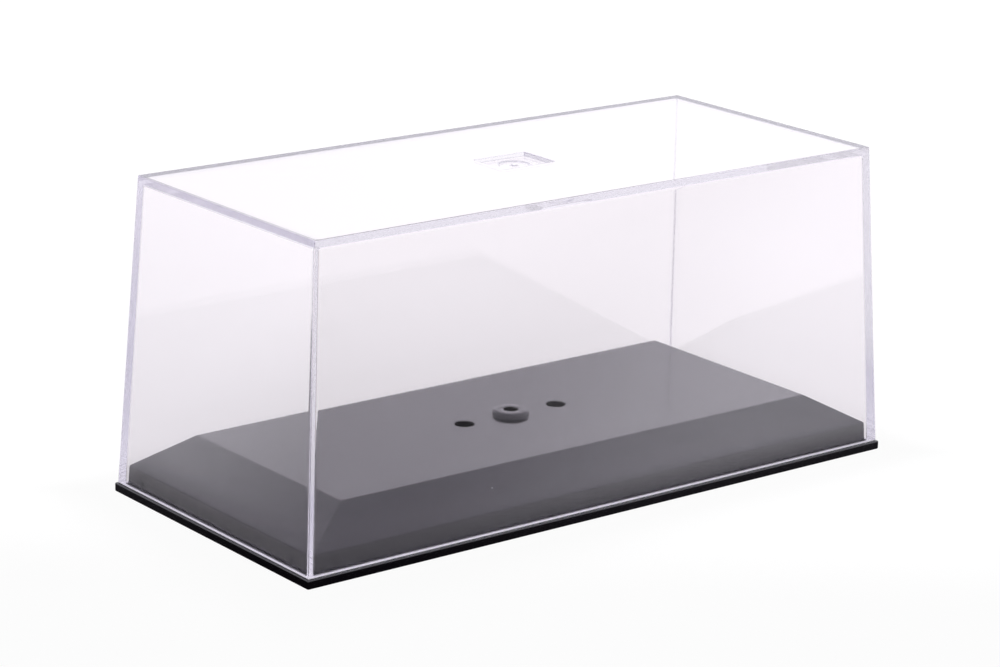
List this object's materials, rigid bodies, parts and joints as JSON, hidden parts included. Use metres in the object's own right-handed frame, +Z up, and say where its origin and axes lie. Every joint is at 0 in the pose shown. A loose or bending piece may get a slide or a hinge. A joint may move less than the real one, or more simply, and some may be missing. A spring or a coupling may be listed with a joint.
{
  "type": "display case",
  "caption": "Long display case for a small scale model: a clear drafted cover lifts off a black base with a raised bevelled plinth and screw holes.",
  "frame": {"origin": "middle of the base's underside, on the table", "axes": "+X along the length, +Y towards the back long side, +Z up"},
  "size_m": [0.14, 0.0646, 0.0622],
  "materials": {
    "black_styrene": "satin moulded black polystyrene",
    "clear_styrene": "polished clear polystyrene"
  },
  "bodies": {
    "base": {"base": "black_styrene"},
    "cover": {"cover": "clear_styrene"}
  },
  "joints": [
    {"name": "cover_lift", "type": "slide", "parent": "base", "child": "cover", "axis": [0, 0, 1], "range_m": [0, 0.075]}
  ]
}
